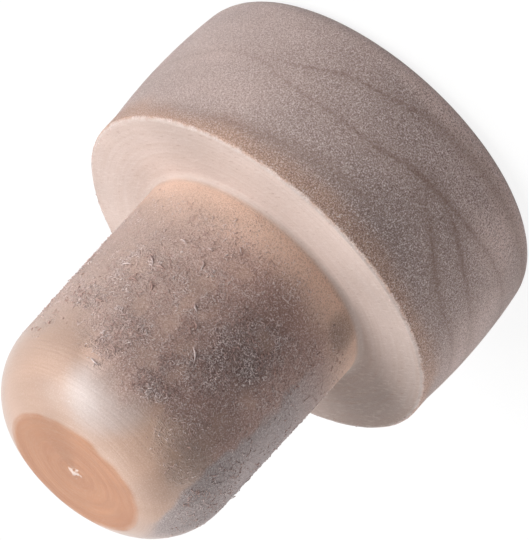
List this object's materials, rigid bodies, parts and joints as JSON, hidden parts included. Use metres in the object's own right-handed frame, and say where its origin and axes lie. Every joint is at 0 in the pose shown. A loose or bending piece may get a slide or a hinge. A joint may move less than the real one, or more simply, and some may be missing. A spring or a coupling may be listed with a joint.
{
  "type": "wine stopper",
  "caption": "Turned wooden bottle stopper: barrelled head, flat seat and a tapered stem with a rounded nose.",
  "frame": {"origin": "centre of the head's flat top, on which the stopper stands", "axes": "+Z along the turning axis, from the head's flat top to the stem's tip"},
  "size_m": [0.0304, 0.0304, 0.0344],
  "materials": {
    "wood": "bare turned maple, satin and waxed at the nose"
  },
  "bodies": {
    "root": {"stopper": "wood"}
  },
  "joints": []
}
